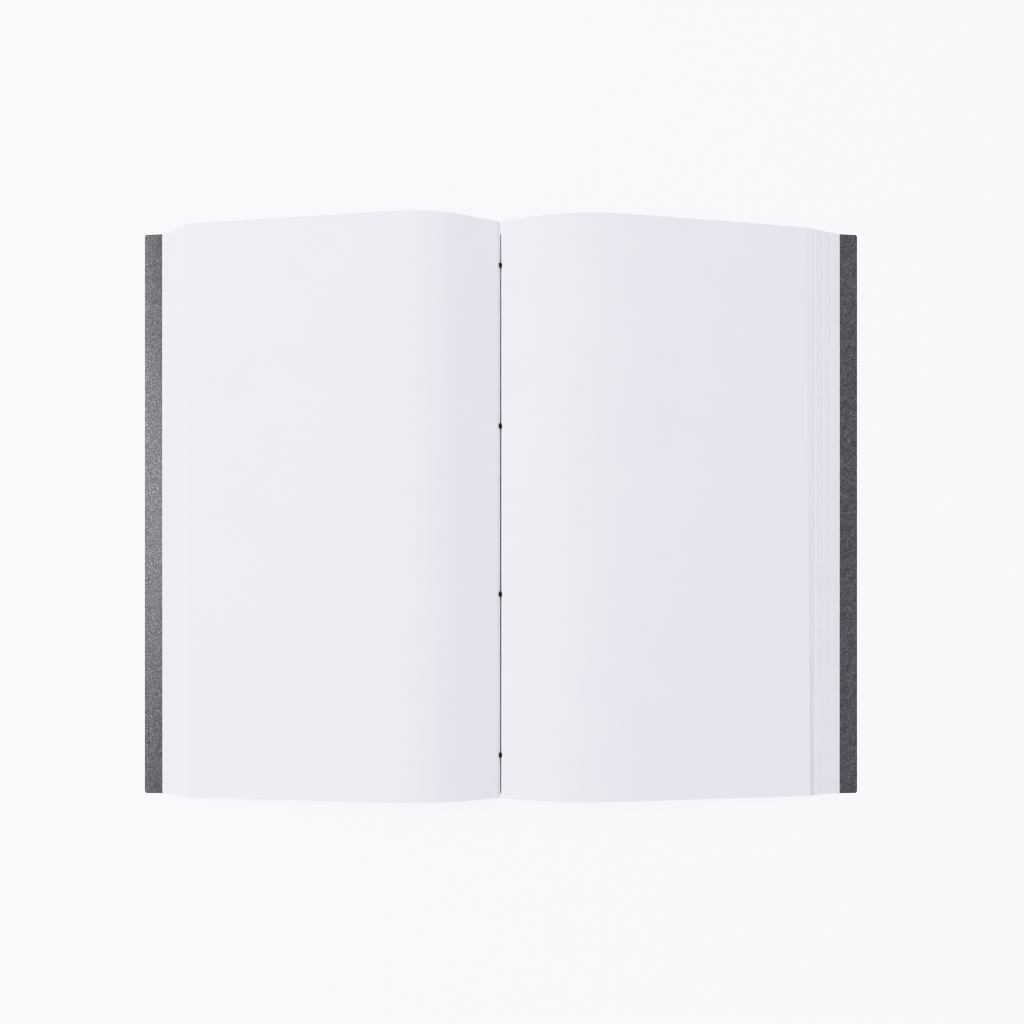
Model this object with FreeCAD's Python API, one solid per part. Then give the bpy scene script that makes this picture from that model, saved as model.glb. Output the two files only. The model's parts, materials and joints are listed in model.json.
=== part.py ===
"""Thread-sewn soft-cover sketchbook, open flat, one closed solid per piece.

Frame: X across the spread (front cover on -X), Y along the spine (head on +Y), Z up,
origin on the table under the middle of the spine. Millimetres.
"""

import FreeCAD, Part
import math
import os

# ---- overall sizes ----
COVER_HEIGHT = 210.0        # head to tail
HALF_SPREAD = 134.0         # spine centre to the cover's fore-edge
COVER_THICK = 1.0
PAGE_HEIGHT = 209.6
PAGE_WIDTH = 126.2          # spine to fore-edge with the book closed

# ---- sewn block ----
SECTIONS = 4                # on each side of the opening
SECTION_THICK = 1.0         # eight leaves
SECTION_PITCH = 1.05
GUTTER_GAP = 0.4
LINING_THICK = 0.3
LEAF_THICK = 0.125
LEAF_CLEAR = 0.03

# ---- cover ----
HINGE_CLEAR = 0.05          # cover hinge outside the block's flank
HINGE_STRIP = 7.0
COVER_CORNER_R = 1.2

# ---- where each half-section bends, lowest to highest: (z at fold, x and z of bend, z at edge)
FRONT_SHAPE = (
    (4.00, 30.0, 8.90, 1.06),
    (6.10, 29.0, 12.30, 3.40),
    (8.15, 28.0, 15.60, 5.80),
    (10.20, 27.0, 18.90, 8.25),
)
BACK_SHAPE = (
    (4.00, 29.0, 8.30, 1.06),
    (6.10, 28.0, 11.50, 2.36),
    (8.15, 27.0, 14.70, 3.74),
    (10.20, 26.0, 17.90, 5.20),
)

# ---- turning leaf ----
LEAF_BAND = 12.0            # flexing band at the crest

# ---- sewing ----
STATION_SHARES = (-0.425, -0.146, 0.146, 0.425)     # of the page height, from the middle
STATIONS = [share * PAGE_HEIGHT for share in STATION_SHARES]
THREAD_BAR = 0.38
KERF = 0.6
STEM_X = 0.3
STEM_Y = 0.8
BEAD_X = 1.1
BEAD_Y = 2.0
BEAD_Z = 0.62
BEAD_ROUND = 0.25
BEAD_DROP = 0.04            # bead's top under the topmost folds
BAR_INSET = 0.4             # bar's ends inside the block's flanks
THREAD_CLEAR = 0.01         # thread above the lining
KERF_CLEAR = 0.04           # kerf above the bar
SEAT_CLEAR_X = 0.08
SEAT_CLEAR_Y = 0.1
CUT_PAST = 1.0              # cutting boxes reach this far past the paper

FRONT = -1
BACK = 1


def prism(points, length):
    """Straight prism along Y, centred on Y = 0, over an (x, z) outline."""
    corners = [FreeCAD.Vector(x, -length / 2, z) for x, z in points]
    wire = Part.makePolygon(corners + [corners[0]])
    solid = Part.Face(wire).extrude(FreeCAD.Vector(0, length, 0))
    if solid.Volume < 0:
        solid.reverse()
    return Part.Solid(solid) if solid.ShapeType != "Solid" else solid


def box(x0, x1, y0, y1, z0, z1):
    """Axis-aligned box from its limits."""
    return Part.makeBox(x1 - x0, y1 - y0, z1 - z0, FreeCAD.Vector(x0, y0, z0))


def block_half_width():
    """Spine centre to the flank of the sewn block."""
    return GUTTER_GAP / 2 + SECTIONS * SECTION_PITCH


def fold_x(index):
    """Distance from the spine centre to the cover-side face of one section."""
    return GUTTER_GAP / 2 + (SECTIONS - index) * SECTION_PITCH


def slab_layout(index, shape):
    """Fold point, bend angle, edge angle and both strip lengths of one half-section."""
    fold_z, bend_x, bend_z, edge_z = shape
    start = fold_x(index)
    rise = math.atan2(bend_z - fold_z, bend_x - start)
    inner = math.hypot(bend_x - start, bend_z - fold_z)
    outer = COVER_THICK + PAGE_WIDTH - fold_z - inner
    fall = -math.asin((bend_z - edge_z) / outer)
    return start, fold_z, rise, fall, inner, outer


def strip(side, start, angle, length, thick):
    """Outline of a straight strip: start point, slope, length, thickness on its upper side."""
    dx, dz = math.cos(angle), math.sin(angle)
    nx, nz = -dz, dx
    x0, z0 = start
    x1, z1 = x0 + dx * length, z0 + dz * length
    outline = [(x0, z0), (x1, z1), (x1 + nx * thick, z1 + nz * thick), (x0 + nx * thick, z0 + nz * thick)]
    return [(side * x, z) for x, z in outline], (x1, z1)


def section_leaves(side, index, shape):
    """Inner and outer strips of one half-section's leaves."""
    start, fold_z, rise, fall, inner, outer = slab_layout(index, shape)
    first, bend = strip(side, (start, fold_z), rise, inner, SECTION_THICK)
    second, _ = strip(side, bend, fall, outer, SECTION_THICK)
    return prism(first, PAGE_HEIGHT), prism(second, PAGE_HEIGHT)


def section_back(side, index, shape):
    """Folded, sewn back edge of one section, kerfed for the thread."""
    outer_x = fold_x(index)
    inner_x = outer_x - SECTION_PITCH
    low, high = sorted((side * inner_x, side * outer_x))
    back = box(low, high, -PAGE_HEIGHT / 2, PAGE_HEIGHT / 2, COVER_THICK + LINING_THICK, shape[0])
    floor = COVER_THICK + LINING_THICK
    for y in STATIONS:
        kerf_top = floor + THREAD_BAR + KERF_CLEAR
        kerf = box(low - CUT_PAST, high + CUT_PAST, y - KERF / 2, y + KERF / 2, floor - CUT_PAST, kerf_top)
        back = back.cut(kerf)
        if index == SECTIONS - 1:
            half_x = BEAD_X / 2 + SEAT_CLEAR_X
            half_y = BEAD_Y / 2 + SEAT_CLEAR_Y
            seat_floor = shape[0] - BEAD_DROP - BEAD_Z - SEAT_CLEAR_X
            seat = box(-half_x, half_x, y - half_y, y + half_y, seat_floor, shape[0] + CUT_PAST)
            back = back.cut(seat)
    return back


def sewing_thread(y):
    """One station's thread: bar over the backs, stem up the gutter, knotted bead on top."""
    floor = COVER_THICK + LINING_THICK
    reach = block_half_width() - BAR_INSET
    top = FRONT_SHAPE[-1][0] - BEAD_DROP
    low = floor + THREAD_CLEAR
    bar = box(-reach, reach, y - THREAD_BAR / 2, y + THREAD_BAR / 2, low, floor + THREAD_BAR)
    stem = box(-STEM_X / 2, STEM_X / 2, y - STEM_Y / 2, y + STEM_Y / 2, low, top - BEAD_Z / 2)
    bead = box(-BEAD_X / 2, BEAD_X / 2, y - BEAD_Y / 2, y + BEAD_Y / 2, top - BEAD_Z, top)
    bead = bead.makeFillet(BEAD_ROUND, bead.Edges)
    return bar.fuse(stem).fuse(bead).removeSplitter()


def turning_leaf():
    """Topmost front leaf in three strips lying just above its section."""
    start, fold_z, rise, fall, inner, outer = slab_layout(SECTIONS - 1, FRONT_SHAPE[-1])
    lift = SECTION_THICK + LEAF_CLEAR
    base = (start - math.sin(rise) * lift, fold_z + math.cos(rise) * lift)
    mitre = lift * math.tan((rise - fall) / 2)
    first, crest = strip(FRONT, base, rise, inner + mitre, LEAF_THICK)
    second, band_end = strip(FRONT, crest, fall, LEAF_BAND, LEAF_THICK)
    third, _ = strip(FRONT, band_end, fall, outer - mitre - LEAF_BAND, LEAF_THICK)
    return [prism(points, PAGE_HEIGHT) for points in (first, second, third)]


def cover_strip(side):
    """Scored strip of cover between the spine and the panel."""
    inner_x = block_half_width() + HINGE_CLEAR
    low, high = sorted((side * inner_x, side * (inner_x + HINGE_STRIP)))
    return box(low, high, -COVER_HEIGHT / 2, COVER_HEIGHT / 2, 0.0, COVER_THICK)


def cover_panel(side):
    """Cover panel with slightly rounded outer corners."""
    inner_x = block_half_width() + HINGE_CLEAR + HINGE_STRIP
    low, high = sorted((side * inner_x, side * HALF_SPREAD))
    panel = box(low, high, -COVER_HEIGHT / 2, COVER_HEIGHT / 2, 0.0, COVER_THICK)
    corners = []
    for edge in panel.Edges:
        ends = [vertex.Point for vertex in edge.Vertexes]
        upright = abs(ends[0].z - ends[1].z) > COVER_THICK / 2
        at_fore_edge = abs(abs(ends[0].x) - HALF_SPREAD) < COVER_CORNER_R / 2
        if upright and at_fore_edge:
            corners.append(edge)
    return panel.makeFillet(COVER_CORNER_R, corners)


def build():
    """Every piece by node name."""
    block = block_half_width()
    spine_half = block + HINGE_CLEAR
    half_height = COVER_HEIGHT / 2
    half_page = PAGE_HEIGHT / 2
    parts = {
        "cover_spine": box(-spine_half, spine_half, -half_height, half_height, 0.0, COVER_THICK),
        "spine_lining": box(-block, block, -half_page, half_page, COVER_THICK, COVER_THICK + LINING_THICK),
        "cover_front_hinge": cover_strip(FRONT),
        "cover_front": cover_panel(FRONT),
        "cover_back_hinge": cover_strip(BACK),
        "cover_back": cover_panel(BACK),
    }
    for label, side, shapes in (("front", FRONT, FRONT_SHAPE), ("back", BACK, BACK_SHAPE)):
        for index, shape in enumerate(shapes):
            name = f"{label}_section_{index + 1}"
            inner, outer = section_leaves(side, index, shape)
            parts[f"{name}_back_fold"] = section_back(side, index, shape)
            parts[f"{name}_inner"] = inner
            parts[f"{name}_outer"] = outer
    for index, y in enumerate(STATIONS):
        parts[f"sewing_thread_{index + 1}"] = sewing_thread(y)
    for name, shape in zip(("leaf_inner", "leaf_crest", "leaf_outer"), turning_leaf()):
        parts[name] = shape
    return parts


def main():
    """Write one STEP per piece."""
    os.makedirs("parts", exist_ok=True)
    for name, shape in build().items():
        shape.exportStep(f"parts/{name}.step")
        print(f"{name}: volume {shape.Volume:.2f} mm3, valid {shape.isValid()}")


main()
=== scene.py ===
"""Open thread-sewn sketchbook: paper leaves, grained cover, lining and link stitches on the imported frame."""

import json
import logging
import math
import random
from dataclasses import dataclass
from enum import Enum

import bmesh
import bpy
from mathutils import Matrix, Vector


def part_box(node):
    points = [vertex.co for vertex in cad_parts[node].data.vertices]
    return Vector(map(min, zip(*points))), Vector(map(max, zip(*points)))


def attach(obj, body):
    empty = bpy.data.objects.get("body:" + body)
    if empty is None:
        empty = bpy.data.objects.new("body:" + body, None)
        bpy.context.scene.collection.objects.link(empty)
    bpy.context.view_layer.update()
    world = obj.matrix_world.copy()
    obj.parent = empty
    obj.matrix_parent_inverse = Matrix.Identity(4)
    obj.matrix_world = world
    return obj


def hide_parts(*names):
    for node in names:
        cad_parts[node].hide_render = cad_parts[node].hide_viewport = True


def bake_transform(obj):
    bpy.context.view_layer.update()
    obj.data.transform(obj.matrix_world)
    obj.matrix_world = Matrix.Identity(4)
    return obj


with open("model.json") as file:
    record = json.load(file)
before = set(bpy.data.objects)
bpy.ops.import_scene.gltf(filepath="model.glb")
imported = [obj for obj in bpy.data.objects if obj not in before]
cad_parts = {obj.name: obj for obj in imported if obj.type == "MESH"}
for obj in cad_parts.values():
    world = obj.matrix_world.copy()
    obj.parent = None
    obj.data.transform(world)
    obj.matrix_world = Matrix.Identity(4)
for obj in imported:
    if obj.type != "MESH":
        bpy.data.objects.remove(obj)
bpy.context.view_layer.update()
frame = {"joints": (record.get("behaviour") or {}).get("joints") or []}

LOG = logging.getLogger("sketchbook")
MM = 0.001

Point = tuple[float, float]

TOUCHING = 0.01 * MM
SHARP_FROM = math.radians(38)
SECTIONS = 4
BACK_CREST = {"crest_before": 14.0 * MM, "crest_after": 26.0 * MM, "crest_shift": 0.0, "crest_lift": 1.3 * MM}
BACK_TOP_SKEW = -0.8 * MM


class Side(Enum):
    """The half of the book a piece belongs to, with the sign of its X."""

    FRONT = -1
    BACK = 1

    @property
    def label(self) -> str:
        """The half's name as the frame's nodes spell it."""
        return self.name.lower()


# ---------------------------------------------------------------- frame lookups


def joint_at(name: str) -> Vector:
    """Where a joint's axis passes.

    Args:
        name: the joint's name in the frame.

    Returns:
        A point on the axis, in metres.
    """
    return Vector(next(joint["pos_m"] for joint in frame["joints"] if joint["name"] == name))


def outward(point: Vector) -> Vector:
    """A frame point as (distance from the spine's middle, height)."""
    return Vector((abs(point.x), point.z))


# ---------------------------------------------------------------- finishes


class NodeTree:
    """A material's nodes, made and linked by short calls."""

    def __init__(self, name: str) -> None:
        """Start a material that holds only a surface shader and its output."""
        self.material = bpy.data.materials.new(name)
        self.material.use_nodes = True
        self.nodes = self.material.node_tree.nodes
        self.links = self.material.node_tree.links
        self.shader = next(n for n in self.nodes if n.type == "BSDF_PRINCIPLED")

    def add(self, kind: str, **settings: object) -> bpy.types.Node:
        """Add a node and set its properties.

        Args:
            kind: the node's Blender type.
            settings: properties by name.

        Returns:
            The new node.
        """
        node = self.nodes.new(kind)
        for key, value in settings.items():
            setattr(node, key, value)
        return node

    def link(self, out: bpy.types.NodeSocket, into: bpy.types.NodeSocket) -> None:
        """Link an output to an input."""
        self.links.new(out, into)

    def millimetres(self, stretch: tuple = (1.0, 1.0, 1.0), turn: float = 0.0) -> bpy.types.NodeSocket:
        """Object coordinates in millimetres.

        Args:
            stretch: how many units a millimetre counts along each axis.
            turn: rotation about Z in radians, made before the stretch.

        Returns:
            The mapped coordinates.
        """
        coords = self.add("ShaderNodeTexCoord")
        turned = self.add("ShaderNodeMapping")
        turned.inputs["Rotation"].default_value = (0.0, 0.0, turn)
        self.link(coords.outputs["Object"], turned.inputs["Vector"])
        scaled = self.add("ShaderNodeMapping")
        scaled.inputs["Scale"].default_value = tuple(value / MM for value in stretch)
        self.link(turned.outputs["Vector"], scaled.inputs["Vector"])
        return scaled.outputs["Vector"]

    def noise(
        self, vector: bpy.types.NodeSocket, scale: float, detail: float, rough: float
    ) -> bpy.types.NodeSocket:
        """Fractal noise from 0 to 1.

        Args:
            vector: the coordinates it reads.
            scale: features per coordinate unit.
            detail: number of octaves.
            rough: weight of the finer octaves.

        Returns:
            The noise's value.
        """
        node = self.add("ShaderNodeTexNoise")
        node.inputs["Scale"].default_value = scale
        node.inputs["Detail"].default_value = detail
        node.inputs["Roughness"].default_value = rough
        self.link(vector, node.inputs["Vector"])
        return node.outputs["Fac"]

    def ramp(self, value: bpy.types.NodeSocket, stops: list[tuple[float, tuple]]) -> bpy.types.NodeSocket:
        """Colours along a value.

        Args:
            value: the number from 0 to 1 that picks the colour.
            stops: (place, colour) pairs, in order.

        Returns:
            The colour.
        """
        node = self.add("ShaderNodeValToRGB")
        band = node.color_ramp
        while len(band.elements) < len(stops):
            band.elements.new(0.5)
        for element, (place, colour) in zip(band.elements, stops):
            element.position = place
            element.color = (*colour, 1.0)
        self.link(value, node.inputs["Fac"])
        return node.outputs["Color"]

    def math(self, kind: str, first: object, second: object) -> bpy.types.NodeSocket:
        """Arithmetic on two values, each a socket or a number."""
        node = self.add("ShaderNodeMath", operation=kind)
        for socket, value in zip(node.inputs, (first, second)):
            if isinstance(value, bpy.types.NodeSocket):
                self.link(value, socket)
            else:
                socket.default_value = value
        return node.outputs["Value"]

    def bump(self, height: bpy.types.NodeSocket, depth: float, strength: float) -> None:
        """Relief on the shader's normal.

        Args:
            height: the relief, from 0 to 1.
            depth: its full depth in metres.
            strength: how strongly it is applied.
        """
        node = self.add("ShaderNodeBump")
        node.inputs["Strength"].default_value = strength
        node.inputs["Distance"].default_value = depth
        self.link(height, node.inputs["Height"])
        self.link(node.outputs["Normal"], self.shader.inputs["Normal"])

    def set(self, **values: object) -> None:
        """Set the shader's own sockets by name, with underscores for spaces."""
        for key, value in values.items():
            self.shader.inputs[key.replace("_", " ")].default_value = value


@dataclass(frozen=True)
class PaperFinish:
    """Uncoated drawing paper with a fine tooth."""

    name: str = "drawing_paper"
    light: tuple = (0.872, 0.876, 0.902)
    dark: tuple = (0.848, 0.850, 0.880)
    cloud_scale: float = 0.05
    tooth_scale: float = 2.6
    tooth_depth: float = 0.02 * MM
    glow: float = 0.35
    glow_reach: float = 0.4 * MM

    def build(self) -> bpy.types.Material:
        """Make the material."""
        tree = NodeTree(self.name)
        where = tree.millimetres()
        cloud = tree.noise(where, self.cloud_scale, 4.0, 0.55)
        tree.link(tree.ramp(cloud, [(0.3, self.dark), (0.7, self.light)]), tree.shader.inputs["Base Color"])
        tooth = tree.noise(where, self.tooth_scale, 5.0, 0.7)
        tree.bump(tooth, self.tooth_depth, 0.5)
        tree.set(Roughness=0.82, Specular_IOR_Level=0.25)
        tree.set(Subsurface_Weight=self.glow, Subsurface_Scale=self.glow_reach)
        tree.set(Subsurface_Radius=(1.0, 1.0, 1.0))
        return tree.material


@dataclass(frozen=True)
class CoverFinish:
    """Flexible cover with an embossed leather grain of slanting, wrinkled pebbles, with painted shade in its
    cracks and painted highlights on its pebble tops.
    """

    name: str = "grained_cover"
    # painted shade: the darkest colour goes in the grain's cracks, where shade falls
    crack: tuple = (0.028, 0.029, 0.032)
    body: tuple = (0.078, 0.079, 0.085)
    # painted highlight: the lightest colour goes on the pebble tops
    crown: tuple = (0.142, 0.144, 0.152)
    slant: float = math.radians(-38)
    stretch: tuple = (0.80, 1.45, 1.2)
    wrinkle_scale: float = 0.75
    wrinkle: float = 1.8
    pebble_height: float = 2.2
    pebble_round: float = 0.6
    patch_scale: float = 0.45
    fine_scale: float = 2.6
    relief: float = 0.14 * MM

    def build(self) -> bpy.types.Material:
        """Make the material."""
        tree = NodeTree(self.name)
        where = tree.millimetres(self.stretch, self.slant)
        warp = tree.add("ShaderNodeTexNoise")
        warp.inputs["Scale"].default_value = self.wrinkle_scale
        warp.inputs["Detail"].default_value = 3.0
        tree.link(where, warp.inputs["Vector"])
        shifted = tree.add("ShaderNodeVectorMath", operation="MULTIPLY_ADD")
        tree.link(warp.outputs["Color"], shifted.inputs[0])
        shifted.inputs[1].default_value = (self.wrinkle, self.wrinkle, self.wrinkle)
        tree.link(where, shifted.inputs[2])
        cells = tree.add("ShaderNodeTexVoronoi", feature="DISTANCE_TO_EDGE")
        cells.inputs["Scale"].default_value = 1.0
        tree.link(shifted.outputs["Vector"], cells.inputs["Vector"])
        raised = tree.math("MULTIPLY", cells.outputs["Distance"], self.pebble_height)
        pebbles = tree.math("POWER", raised, self.pebble_round)
        patches = tree.noise(where, self.patch_scale, 3.0, 0.6)
        fine = tree.noise(where, self.fine_scale, 5.0, 0.7)
        uneven = tree.math("ADD", tree.math("MULTIPLY", patches, 0.8), tree.math("MULTIPLY", fine, 0.7))
        relief = tree.math("ADD", tree.math("MULTIPLY", pebbles, 0.55), tree.math("MULTIPLY", uneven, 0.5))
        # painted shade and highlight: the colour follows the relief's height, darker in the cracks and lighter
        # on the crowns, around the cover's own dark grey
        grain_colour_with_painted_light = tree.ramp(relief, [(0.42, self.crack), (0.66, self.body), (0.92, self.crown)])
        tree.link(grain_colour_with_painted_light, tree.shader.inputs["Base Color"])
        tree.bump(relief, self.relief, 0.9)
        tree.set(Roughness=0.41, Specular_IOR_Level=0.8)
        return tree.material


@dataclass(frozen=True)
class LiningFinish:
    """Dark woven cloth glued over the section folds."""

    name: str = "spine_lining_cloth"
    colour: tuple = (0.020, 0.021, 0.024)
    threads_per_mm: float = 2.2
    weave_depth: float = 0.05 * MM

    def build(self) -> bpy.types.Material:
        """Make the material."""
        tree = NodeTree(self.name)
        where = tree.millimetres()
        weave = []
        for direction in ("X", "Y"):
            wave = tree.add("ShaderNodeTexWave", wave_type="BANDS", bands_direction=direction)
            wave.inputs["Scale"].default_value = self.threads_per_mm / 2
            tree.link(where, wave.inputs["Vector"])
            weave.append(wave.outputs["Fac"])
        tree.bump(tree.math("MULTIPLY", *weave), self.weave_depth, 0.6)
        tree.set(Base_Color=(*self.colour, 1.0), Roughness=0.9, Specular_IOR_Level=0.2)
        return tree.material


@dataclass(frozen=True)
class ThreadFinish:
    """Black waxed sewing thread with a visible twist."""

    name: str = "waxed_thread"
    colour: tuple = (0.012, 0.012, 0.014)
    twists_per_mm: float = 2.4
    twist_slant: float = math.radians(30)
    twist_depth: float = 0.06 * MM

    def build(self) -> bpy.types.Material:
        """Make the material."""
        tree = NodeTree(self.name)
        where = tree.millimetres(turn=self.twist_slant)
        wave = tree.add("ShaderNodeTexWave", wave_type="BANDS", bands_direction="DIAGONAL")
        wave.inputs["Scale"].default_value = self.twists_per_mm / 2
        tree.link(where, wave.inputs["Vector"])
        tree.bump(wave.outputs["Fac"], self.twist_depth, 0.7)
        tree.set(Base_Color=(*self.colour, 1.0), Roughness=0.55, Specular_IOR_Level=0.4)
        return tree.material


@dataclass(frozen=True)
class FloorFinish:
    """Plain pale studio floor."""

    name: str = "studio_floor"
    colour: tuple = (0.90, 0.90, 0.91)
    glow: float = 0.75

    def build(self) -> bpy.types.Material:
        """Make the material."""
        tree = NodeTree(self.name)
        tree.set(Base_Color=(*self.colour, 1.0), Roughness=0.9, Specular_IOR_Level=0.1)
        tree.set(Emission_Color=(1.0, 1.0, 1.0, 1.0), Emission_Strength=self.glow)
        return tree.material


# ---------------------------------------------------------------- paths and meshes


@dataclass(frozen=True)
class Corner:
    """A corner of a leaf's route, rounded between a length before it and a length after it."""

    at: Vector
    before: float = 0.0
    after: float = 0.0
    steps: int = 1


@dataclass(frozen=True)
class Stop:
    """A place on a leaf's route: a point (outward, height) and the heading there."""

    at: Vector
    heading: float

    def beside(self, offset: float) -> Point:
        """The point this far to the gutter or upper side."""
        return (
            self.at.x - math.sin(self.heading) * offset,
            self.at.y + math.cos(self.heading) * offset,
        )


def straight(start: Vector, end: Vector, spacing: float) -> list[Stop]:
    """Stops along a straight run, both ends included."""
    run = end - start
    heading = math.atan2(run.y, run.x)
    count = max(1, math.ceil(run.length / spacing))
    return [Stop(start.lerp(end, k / count), heading) for k in range(count + 1)]


def bend(start: Vector, corner: Vector, end: Vector, steps: int) -> list[Stop]:
    """Stops along a parabola that leaves one side of a corner and joins the other."""
    stops = []
    for k in range(steps + 1):
        share = k / steps
        first, second = start.lerp(corner, share), corner.lerp(end, share)
        run = second - first
        stops.append(Stop(first.lerp(second, share), math.atan2(run.y, run.x)))
    return stops


def rounded_route(corners: list[Corner], spacing: float) -> list[Stop]:
    """Walk a line whose corners are rounded.

    Args:
        corners: the line's corners in order; the two ends are left sharp.
        spacing: longest step on the straight runs.

    Returns:
        The stops along the line.
    """
    stops: list[Stop] = []
    start = corners[0].at
    for index in range(1, len(corners)):
        here = corners[index]
        arriving = (here.at - corners[index - 1].at).normalized()
        end = here.at - arriving * here.before
        stops += straight(start, end, spacing)[1 if stops else 0 :]
        start = end
        if here.after > 0 and index + 1 < len(corners):
            leaving = (corners[index + 1].at - here.at).normalized()
            start = here.at + leaving * here.after
            stops += bend(end, here.at, start, here.steps)[1:]
    return stops


def nearest(stops: list[Stop], point: Vector) -> int:
    """The index of the stop nearest to a point."""
    return min(range(len(stops)), key=lambda k: (stops[k].at - point).length)


@dataclass
class LeafWire:
    """One leaf's section line and how it runs along the book."""

    points: list[Point]
    tail: float
    head: float
    skew: float = 0.0


@dataclass
class LeafMesher:
    """Turns leaf lines into thin closed sheets."""

    side: Side
    thickness: float
    rows: int = 8
    ripple: float = 0.0
    ripple_from: float = 0.0
    ripple_reach: float = 0.1
    ripple_turn: float = 2.1
    phase: float = 0.0
    skew_reach: float = 20.0 * MM
    pinch: float = 0.07 * MM
    pinch_reach: float = 5.0 * MM
    pinched_end: float = 0.5

    def shape(self, name: str, wires: list[LeafWire], material: bpy.types.Material) -> bpy.types.Object:
        """Make one piece that holds a sheet for each line.

        Args:
            name: the piece's name.
            wires: the lines.
            material: the sheets' material.

        Returns:
            The piece, in place.
        """
        mesh = bmesh.new()
        for wire in wires:
            self._sheet(mesh, wire)
        bmesh.ops.solidify(mesh, geom=mesh.faces[:], thickness=self.thickness)
        bmesh.ops.recalc_face_normals(mesh, faces=mesh.faces[:])
        return finish_piece(name, mesh, material)

    def _sheet(self, mesh: bmesh.types.BMesh, wire: LeafWire) -> None:
        """Draw one line at the tail and extrude it to the head, row by row."""
        verts = [mesh.verts.new((self.side.value * u, wire.tail, z)) for u, z in wire.points]
        front = [mesh.edges.new(pair) for pair in zip(verts, verts[1:])]
        made = list(verts)
        step = (wire.head - wire.tail) / self.rows
        for _ in range(self.rows):
            grown = bmesh.ops.extrude_edge_only(mesh, edges=front)["geom"]
            moved = [item for item in grown if isinstance(item, bmesh.types.BMVert)]
            bmesh.ops.translate(mesh, verts=moved, vec=(0.0, step, 0.0))
            fresh = set(moved)
            edges = [item for item in grown if isinstance(item, bmesh.types.BMEdge)]
            front = [edge for edge in edges if all(vert in fresh for vert in edge.verts)]
            made += moved
        middle = (wire.head + wire.tail) / 2
        half = (wire.head - wire.tail) / 2
        edge_at = max(u for u, _ in wire.points)
        for vert in made:
            along = (vert.co.y - middle) / half
            far = min(1.0, max(0.0, (abs(vert.co.x) - self.ripple_from) / self.ripple_reach))
            vert.co.z += self.ripple * far * far * math.sin(self.ripple_turn * along + self.phase)
            near_edge = max(0.0, 1.0 - (edge_at - abs(vert.co.x)) / self.skew_reach)
            near_gutter = max(0.0, 1.0 - abs(vert.co.x) / self.pinch_reach)
            closing = along**2 * (1.0 if along > 0 else self.pinched_end)
            drift = wire.skew * along * near_edge - self.pinch * closing * near_gutter
            vert.co.x += self.side.value * drift


def finish_piece(name: str, mesh: bmesh.types.BMesh, material: bpy.types.Material) -> bpy.types.Object:
    """Turn a finished bmesh into a smooth-shaded piece with sharp rims.

    Args:
        name: the piece's name.
        mesh: its shape; it is freed.
        material: its material.

    Returns:
        The piece, at the origin.
    """
    for face in mesh.faces:
        face.smooth = True
    for edge in mesh.edges:
        edge.smooth = edge.calc_face_angle(0.0) < SHARP_FROM
    data = bpy.data.meshes.new(name)
    mesh.to_mesh(data)
    mesh.free()
    piece = bpy.data.objects.new(name, data)
    bpy.context.scene.collection.objects.link(piece)
    data.materials.append(material)
    LOG.info("%s: %d faces", name, len(data.polygons))
    return piece


# ---------------------------------------------------------------- leaves


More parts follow.
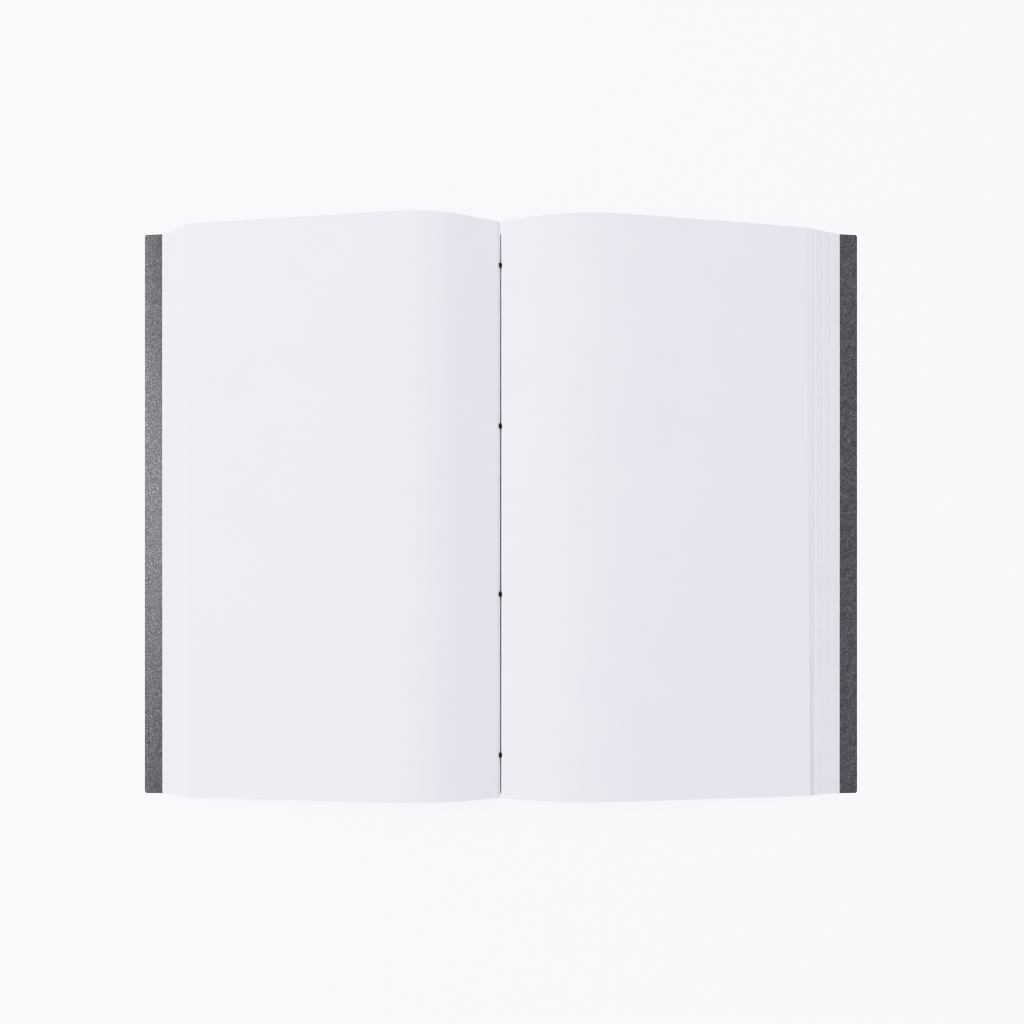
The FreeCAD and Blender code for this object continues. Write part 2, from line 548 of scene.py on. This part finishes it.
@dataclass
class Section:
    """One sewn section: its folds, which stay with the spine, and its free leaves."""

    side: Side
    number: int
    paper: bpy.types.Material
    rng: random.Random
    leaves: int = 8
    pitch: float = 0.125 * MM
    leaf_thick: float = 0.102 * MM
    fold_cut: float = 0.8 * MM
    fold_flex: float = 2.2 * MM
    crest_before: float = 12.0 * MM
    crest_after: float = 14.0 * MM
    crest_shift: float = 2.5 * MM
    crest_flex: float = 7.0 * MM
    crest_lift: float = 0.7 * MM
    edge_slant: float = 3.3 * MM
    edge_spread: float = 0.02 * MM
    edge_scatter: float = 0.12 * MM
    trim_scatter: float = 0.05 * MM
    ripple: float = 0.10 * MM
    ripple_step: float = 0.7
    seam_share: float = 0.42
    fold_floor: float = 1.86 * MM
    top_skew: float = 0.0
    skew_from: int = 3

    def __post_init__(self) -> None:
        """Read the fold, the crest and the fore-edge from the frame."""
        stem = f"{self.side.label}_section_{self.number}"
        self.stem = stem
        self.inner_body = f"{stem}_inner"
        self.outer_body = f"{stem}_outer"
        self.fold = outward(joint_at(f"{stem}_fold"))
        self.crest = outward(joint_at(f"{stem}_bend"))
        low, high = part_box(f"{stem}_outer")
        far = max(abs(low.x), abs(high.x))
        self.edge = Vector((far, low.z))
        self.half_height = high.y
        self.route = self._route()
        self.seam = nearest(self.route, self.fold.lerp(self._lifted_crest(), self.seam_share))

    def _lifted_crest(self) -> Vector:
        """The crest's corner, moved so that the rounded crest reaches the frame's."""
        back = (self.crest - self.edge).normalized() * self.crest_shift
        return self.crest + back + Vector((0.0, self.crest_lift))

    def _route(self) -> list[Stop]:
        """The lowest leaf's under side, from the section's fold to its fore-edge."""
        crest = self._lifted_crest()
        seam = self.fold.lerp(crest, self.seam_share)
        return rounded_route(
            [
                Corner(Vector((self.fold.x, self.fold_floor))),
                Corner(self.fold, self.fold_cut, self.fold_cut, 12),
                Corner(seam),
                Corner(crest, self.crest_before, self.crest_after, 26),
                Corner(self.edge),
            ],
            spacing=4.0 * MM,
        )

    def offset(self, leaf: int, near_edge: float = 0.0) -> float:
        """A leaf's height above the section's under side, to its middle.

        Args:
            leaf: the leaf's number, from the lowest.
            near_edge: how near the fore-edge, from 0 at the seam to 1.

        Returns:
            The height, a little more near the fore-edge where the leaves spread.
        """
        return (leaf + 0.5) * self.pitch + leaf * self.edge_spread * near_edge * near_edge

    def _span(self) -> tuple[float, float]:
        """Tail and head of one leaf, with the small scatter of a trimmed block."""
        tail = -self.half_height + self.rng.uniform(0, self.trim_scatter)
        head = self.half_height - self.rng.uniform(0, self.trim_scatter)
        return tail, head

    def _fold_wires(self) -> list[LeafWire]:
        """Nested folded sheets, each from one leaf's seam round the fold to its partner's."""
        wires = []
        centre = self.offset(0) + self.pitch * (self.leaves - 1) / 2
        for leaf in range(self.leaves // 2):
            partner = self.leaves - 1 - leaf
            down = [stop.beside(self.offset(leaf)) for stop in reversed(self.route[: self.seam + 1])]
            up = [stop.beside(self.offset(partner)) for stop in self.route[: self.seam + 1]]
            radius = centre - self.offset(leaf)
            middle = self.fold.x - centre
            turn = [
                (middle + radius * math.cos(angle), self.fold_floor - radius * math.sin(angle))
                for angle in (math.pi * k / 6 for k in range(1, 6))
            ]
            tail, head = self._span()
            wires.append(LeafWire(down + turn + up, tail, head))
        return wires

    def _leaf_wires(self) -> list[LeafWire]:
        """Each leaf from the seam to its fore-edge, upper leaves ending a little further in."""
        wires = []
        for leaf in range(self.leaves):
            stops = self.route[self.seam :]
            last = len(stops) - 1
            points = [stop.beside(self.offset(leaf, k / last)) for k, stop in enumerate(stops)]
            inset = self.edge_slant * leaf / (self.leaves - 1) + self.rng.uniform(0, self.edge_scatter)
            (u, z), (u_before, z_before) = points[-1], points[-2]
            length = math.hypot(u - u_before, z - z_before)
            share = inset / length
            points[-1] = (u + (u_before - u) * share, z + (z_before - z) * share)
            tail, head = self._span()
            skew = self.top_skew * max(0.0, leaf - self.skew_from) / (self.leaves - 1 - self.skew_from)
            wires.append(LeafWire(points, tail, head, skew))
        return wires

    def along(self, distance: float) -> Vector:
        """A point this far from the crest corner: towards the fold if negative, else the fore-edge."""
        crest = self._lifted_crest()
        towards = self.edge if distance > 0 else self.fold
        flat = crest + (towards - crest).normalized() * abs(distance)
        return Vector((self.side.value * flat.x, 0.0, flat.y))

    def rippling(self) -> LeafMesher:
        """A mesher whose sheets ripple a little from the crest to the fore-edge."""
        return LeafMesher(
            self.side,
            self.leaf_thick,
            ripple=self.ripple,
            ripple_from=self.crest.x,
            ripple_reach=self.edge.x - self.crest.x,
            phase=self.ripple_step * self.number,
        )

    def build(self) -> None:
        """Make the folded part and the free leaves, and hide the frame's parts they stand in for."""
        mesher = LeafMesher(self.side, self.leaf_thick)
        folds = mesher.shape(f"{self.stem}_folds", self._fold_wires(), self.paper)
        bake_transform(folds)
        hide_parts(f"{self.stem}_back_fold", self.inner_body)
        leaves = self.rippling().shape(f"{self.stem}_leaves", self._leaf_wires(), self.paper)
        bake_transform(leaves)
        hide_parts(self.outer_body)


@dataclass
class TurningLeaf:
    """The topmost front leaf, which turns across the gutter by itself."""

    section: Section
    clearance: float = 0.03 * MM
    shorten: float = 0.7 * MM
    fold_flex: float = 4.0 * MM
    crest_flex: float = 13.0 * MM
    crest_gap: float = 0.5 * MM
    page_flex: float = 16.0 * MM
    throat_stops: int = 6

    def __post_init__(self) -> None:
        """Place the leaf just above its section."""
        base = self.section
        self.height = base.leaves * base.pitch + self.clearance + base.pitch / 2
        self.hinge = outward(joint_at("leaf_turn"))
        self.bend = outward(joint_at("leaf_crest_bend"))
        self.lift = outward(joint_at("leaf_edge_lift"))

    def build(self) -> None:
        """Make the leaf's four lengths and hide the frame's parts they stand in for."""
        base = self.section
        line = [Vector(stop.beside(self.height)) for stop in base.route]
        count = len(line)
        throat = min(range(count), key=lambda k: (line[k] - self.hinge).length)
        crest_middle = min(range(count), key=lambda k: (line[k] - self.bend.lerp(self.lift, 0.5)).length)
        line[-1] = line[-1].lerp(line[-2], self.shorten / (line[-1] - line[-2]).length)
        rise = (self.bend - self.hinge).normalized()
        fall = (self.lift - self.bend).normalized()
        lengths = (
            (
                "leaf_gutter", 0, throat, "spine", base.inner_body,
                line[throat - self.throat_stops], line[throat], f"{base.stem}_back_fold",
            ),
            (
                "leaf_fold", throat, base.seam, base.inner_body, "leaf_inner",
                line[throat], self.hinge + rise * self.fold_flex, "leaf_inner",
            ),
            (
                "leaf_crest_sheet", base.seam, crest_middle, "leaf_inner", "leaf_crest",
                self.bend - rise * self.crest_flex, line[crest_middle] - fall * self.crest_gap, "leaf_crest",
            ),
            (
                "leaf_page", crest_middle, count - 1, "leaf_crest", "leaf_outer",
                line[crest_middle] + fall * self.crest_gap, self.lift + fall * self.page_flex, "leaf_outer",
            ),
        )
        for name, first, last, before, after, start, end, node in lengths:
            points = [(point.x, point.y) for point in line[first : last + 1]]
            wire = LeafWire(points, -base.half_height, base.half_height)
            piece = base.rippling().shape(name, [wire], base.paper)
            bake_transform(piece)
            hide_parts(node)


# ---------------------------------------------------------------- cover


@dataclass
class CoverSkin:
    """Half of the soft cover, in two lengths that meet in the middle of the hinge strip."""

    side: Side
    material: bpy.types.Material
    edge_round: float = 0.28 * MM
    corner_round: float = 1.0 * MM
    taper: float = 0.72 * MM
    taper_reach: float = 7.4 * MM
    score_depth: float = 0.16 * MM
    score_half: float = 0.7 * MM
    bend_half: float = 1.6 * MM
    cuts_reach: float = 1.4
    cuts: int = 10
    taper_cuts: int = 4

    def __post_init__(self) -> None:
        """Read the hinges and the panel's limits from the frame."""
        label = self.side.label
        self.swing_at = abs(joint_at(f"{label}_swing").x)
        self.score_at = abs(joint_at(f"{label}_cover_open").x)
        low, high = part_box(f"cover_{label}")
        self.far = max(abs(low.x), abs(high.x))
        self.half_height = high.y
        self.thick = high.z
        self.middle = (self.swing_at + self.score_at) / 2

    def _slab(self, near: float, far: float, rounded_far: bool) -> bmesh.types.BMesh:
        """A flat length of cover with rounded free edges.

        Args:
            near: distance from the spine's middle to its inner side.
            far: distance to its outer side.
            rounded_far: whether the outer side is the cover's fore-edge.

        Returns:
            Its bmesh.
        """
        mesh = bmesh.new()
        bmesh.ops.create_cube(mesh, size=1.0)
        bmesh.ops.scale(mesh, verts=mesh.verts[:], vec=(far - near, 2 * self.half_height, self.thick))
        centre = (self.side.value * (near + far) / 2, 0.0, self.thick / 2)
        bmesh.ops.translate(mesh, verts=mesh.verts[:], vec=centre)
        if rounded_far:
            corners = [edge for edge in mesh.edges if self._is_upright_at(edge, far)]
            self._bevel(mesh, corners, self.corner_round, 6)
        free = [edge for edge in mesh.edges if self._is_free_edge(edge, near, far, rounded_far)]
        self._bevel(mesh, free, self.edge_round, 3)
        return mesh

    def _bevel(self, mesh: bmesh.types.BMesh, edges: list, width: float, segments: int) -> None:
        """Round some edges."""
        bmesh.ops.bevel(
            mesh, geom=edges, offset=width, segments=segments, profile=0.5, affect="EDGES", material=-1
        )

    def _is_upright_at(self, edge: bmesh.types.BMEdge, far: float) -> bool:
        """Whether an edge is a vertical corner at the fore-edge."""
        first, second = (vert.co for vert in edge.verts)
        return abs(first.z - second.z) > self.thick / 2 and abs(abs(first.x) - far) < TOUCHING

    def _is_free_edge(self, edge: bmesh.types.BMEdge, near: float, far: float, rounded_far: bool) -> bool:
        """Whether an edge runs round the cover's free outline, on its top or bottom face."""
        first, second = (vert.co for vert in edge.verts)
        level = abs(first.z - second.z) < TOUCHING
        at_end = min(abs(first.y), abs(second.y)) > self.half_height - 2 * self.corner_round
        at_fore_edge = rounded_far and min(abs(first.x), abs(second.x)) > far - 2 * self.corner_round
        return level and (at_end or at_fore_edge) and not self._is_seam(edge, near, far, rounded_far)

    def _is_seam(self, edge: bmesh.types.BMEdge, near: float, far: float, rounded_far: bool) -> bool:
        """Whether an edge lies in a side where two lengths of cover meet."""
        places = [near] if rounded_far else [near, far]
        away = [abs(vert.co.x) for vert in edge.verts]
        return any(all(abs(x - place) < TOUCHING for x in away) for place in places)

    def _slice(self, mesh: bmesh.types.BMesh, places: list[float]) -> None:
        """Cut the slab across at each distance from the spine's middle."""
        for place in places:
            bmesh.ops.bisect_plane(
                mesh,
                geom=mesh.verts[:] + mesh.edges[:] + mesh.faces[:],
                plane_co=(self.side.value * place, 0.0, 0.0),
                plane_no=(1.0, 0.0, 0.0),
            )

    def _score(self, mesh: bmesh.types.BMesh, at: float) -> None:
        """Press a shallow crease into both faces along one hinge line."""
        for vert in mesh.verts:
            away = abs(abs(vert.co.x) - at) / self.score_half
            if away < 1.0:
                share = 0.5 + 0.5 * math.cos(math.pi * away)
                squeeze = 2 * (vert.co.z / self.thick - 0.5)
                vert.co.z -= squeeze * self.score_depth * share

    def _thin_margin(self, mesh: bmesh.types.BMesh, far: float) -> None:
        """Slope the top face down to a thinner fore-edge."""
        for vert in mesh.verts:
            share = max(0.0, abs(vert.co.x) - (far - self.taper_reach)) / self.taper_reach
            vert.co.z -= self.taper * share * vert.co.z / self.thick

    def _length(
        self, name: str, near: float, far: float, hinge: float, rounded_far: bool
    ) -> bpy.types.Object:
        """Make one length of cover, sliced across and scored along a hinge line.

        Args:
            name: the piece's name.
            near: distance from the spine's middle to its inner side.
            far: distance to its outer side.
            hinge: distance to the hinge line, where it is sliced and scored.
            rounded_far: whether the outer side is the cover's fore-edge.

        Returns:
            The piece, in place.
        """
        mesh = self._slab(near, far, rounded_far)
        reach = self.bend_half * self.cuts_reach
        places = [hinge + reach * (k / self.cuts - 1) for k in range(2 * self.cuts + 1)]
        self._slice(mesh, [place for place in places if near < place < far])
        self._score(mesh, hinge)
        if rounded_far:
            shares = [1 - k / self.taper_cuts for k in range(self.taper_cuts)]
            self._slice(mesh, [far - self.taper_reach * share for share in shares])
            self._thin_margin(mesh, far)
        return finish_piece(name, mesh, self.material)

    def build(self) -> None:
        """Make both lengths and hide the frame's parts they stand in for."""
        label = self.side.label
        strip = self._length(f"cover_{label}_spine_skin", 0.0, self.middle, self.swing_at, False)
        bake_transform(strip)
        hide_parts("cover_spine", f"cover_{label}_hinge")
        panel = self._length(f"cover_{label}_panel_skin", self.middle, self.far, self.score_at, True)
        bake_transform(panel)
        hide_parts(f"cover_{label}")


# ---------------------------------------------------------------- spine


@dataclass
class SewnSpine:
    """The lining and the link stitches that stay with the spine."""

    lining: bpy.types.Material
    thread: bpy.types.Material
    stations: int = 4
    bead_width: float = 1.35 * MM
    bead_length: float = 1.9 * MM
    bead_height: float = 0.75 * MM
    bead_rise: float = 0.95 * MM
    bead_lean: float = 0.18 * MM
    bead_swell: float = 0.35
    swollen: tuple = (2, 3)
    strand: float = 0.34 * MM
    cloth_round: float = 0.08 * MM

    def build(self) -> None:
        """Make the lining and every station's stitch."""
        self._lining()
        for number in range(1, self.stations + 1):
            self._stitch(number)

    def _lining(self) -> None:
        """Make the lining as a thin cloth strip with soft edges."""
        low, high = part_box("spine_lining")
        mesh = bmesh.new()
        bmesh.ops.create_cube(mesh, size=1.0)
        bmesh.ops.scale(mesh, verts=mesh.verts[:], vec=high - low)
        bmesh.ops.translate(mesh, verts=mesh.verts[:], vec=(low + high) / 2)
        bmesh.ops.bevel(
            mesh, geom=mesh.edges[:], offset=self.cloth_round, segments=2,
            profile=0.5, affect="EDGES", material=-1
        )
        cloth = finish_piece("spine_lining_cloth", mesh, self.lining)
        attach(cloth, "spine")
        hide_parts("spine_lining")

    def _stitch(self, number: int) -> None:
        """Make one station's thread: bar over the folds, stem up the gutter, pointed bead on top."""
        node = f"sewing_thread_{number}"
        low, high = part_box(node)
        at = (low.y + high.y) / 2
        mesh = bmesh.new()
        bead = bmesh.ops.create_uvsphere(mesh, u_segments=28, v_segments=16, radius=0.5)["verts"]
        bmesh.ops.scale(mesh, verts=bead, vec=(self.bead_width, self.bead_length, self.bead_height))
        for vert in bead:
            middle = 1.0 - min(1.0, abs(vert.co.y) / (0.5 * self.bead_length))
            if vert.co.x < 0 and number in self.swollen:
                vert.co.x *= 1.0 + self.bead_swell * middle * middle
        top = high.z + self.bead_rise
        bmesh.ops.translate(mesh, verts=bead, vec=(-self.bead_lean, at, top - self.bead_height / 2))
        self._strand(mesh, Vector((0.0, at, low.z)), Vector((0.0, at, top - self.bead_height / 2)))
        level = low.z + self.strand / 2
        self._strand(mesh, Vector((low.x, at, level)), Vector((high.x, at, level)))
        stitch = finish_piece(f"link_stitch_{number}", mesh, self.thread)
        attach(stitch, "spine")
        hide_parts(node)

    def _strand(self, mesh: bmesh.types.BMesh, start: Vector, end: Vector) -> None:
        """Add a straight length of round thread."""
        made = bmesh.ops.create_cone(
            mesh,
            cap_ends=True,
            segments=12,
            radius1=self.strand / 2,
            radius2=self.strand / 2,
            depth=(end - start).length,
        )["verts"]
        turn = Vector((0.0, 0.0, 1.0)).rotation_difference(end - start).to_matrix()
        bmesh.ops.rotate(mesh, verts=made, cent=(0.0, 0.0, 0.0), matrix=turn)
        bmesh.ops.translate(mesh, verts=made, vec=(start + end) / 2)


# ---------------------------------------------------------------- studio


@dataclass
class Studio:
    """Floor, soft light and the camera that looks straight down on the spread."""

    floor_size: float = 4.0
    camera_at: tuple = (0.0015, -0.0424, 0.321)
    lens: float = 30.0
    shift: tuple = (0.007, 0.112)
    key_at: tuple = (-0.97, 0.26, 0.87)
    key_size: float = 0.25
    key_power: float = 9.9
    key_colour: tuple = (0.970, 1.0, 0.995)
    world_colour: tuple = (0.95, 0.925, 1.0)
    world_strength: float = 0.66
    exposure: float = 0.37

    def build(self) -> None:
        """Make the floor, the lights, the world and the camera."""
        self._floor()
        self._key()
        self._world()
        self._camera()

    def _floor(self) -> None:
        """Lay the floor just under the cover."""
        mesh = bmesh.new()
        bmesh.ops.create_grid(mesh, x_segments=1, y_segments=1, size=self.floor_size / 2)
        floor = finish_piece("floor", mesh, FloorFinish().build())

    def _key(self) -> None:
        """Hang the soft key light to the left of the book, a little towards the head."""
        lamp = bpy.data.lights.new("key", "AREA")
        lamp.shape = "DISK"
        lamp.size = self.key_size
        lamp.energy = self.key_power
        lamp.color = self.key_colour
        key = bpy.data.objects.new("key", lamp)
        key.location = self.key_at
        key.rotation_euler = (-Vector(self.key_at)).to_track_quat("-Z", "Y").to_euler()
        bpy.context.scene.collection.objects.link(key)

    def _world(self) -> None:
        """Light the scene evenly from all round."""
        world = bpy.data.worlds.new("studio")
        world.use_nodes = True
        background = next(node for node in world.node_tree.nodes if node.type == "BACKGROUND")
        background.inputs["Color"].default_value = (*self.world_colour, 1.0)
        background.inputs["Strength"].default_value = self.world_strength
        bpy.context.scene.world = world

    def _camera(self) -> None:
        """Look straight down, head of the book up."""
        lens = bpy.data.cameras.new("camera")
        lens.lens = self.lens
        lens.shift_x, lens.shift_y = self.shift
        lens.clip_start = 0.01
        camera = bpy.data.objects.new("camera", lens)
        camera.location = self.camera_at
        bpy.context.scene.collection.objects.link(camera)
        bpy.context.scene.camera = camera
        bpy.context.scene.view_settings.view_transform = "Khronos PBR Neutral"
        bpy.context.scene.view_settings.exposure = self.exposure


# ---------------------------------------------------------------- whole book


def main() -> None:
    """Build the book's sub-assemblies in order, then the studio."""
    logging.basicConfig(level=logging.INFO)
    paper = PaperFinish().build()
    cover = CoverFinish().build()
    for side in Side:
        CoverSkin(side, cover).build()
        crest = BACK_CREST if side is Side.BACK else {}
        for number in range(1, SECTIONS + 1):
            rng = random.Random(10 * number + side.value)
            skew = BACK_TOP_SKEW if side is Side.BACK and number == SECTIONS else 0.0
            section = Section(side, number, paper, rng, top_skew=skew, **crest)
            section.build()
            if side is Side.FRONT and number == SECTIONS:
                TurningLeaf(section).build()
    SewnSpine(LiningFinish().build(), ThreadFinish().build()).build()
    Studio().build()


if __name__ == "__main__":
    main()
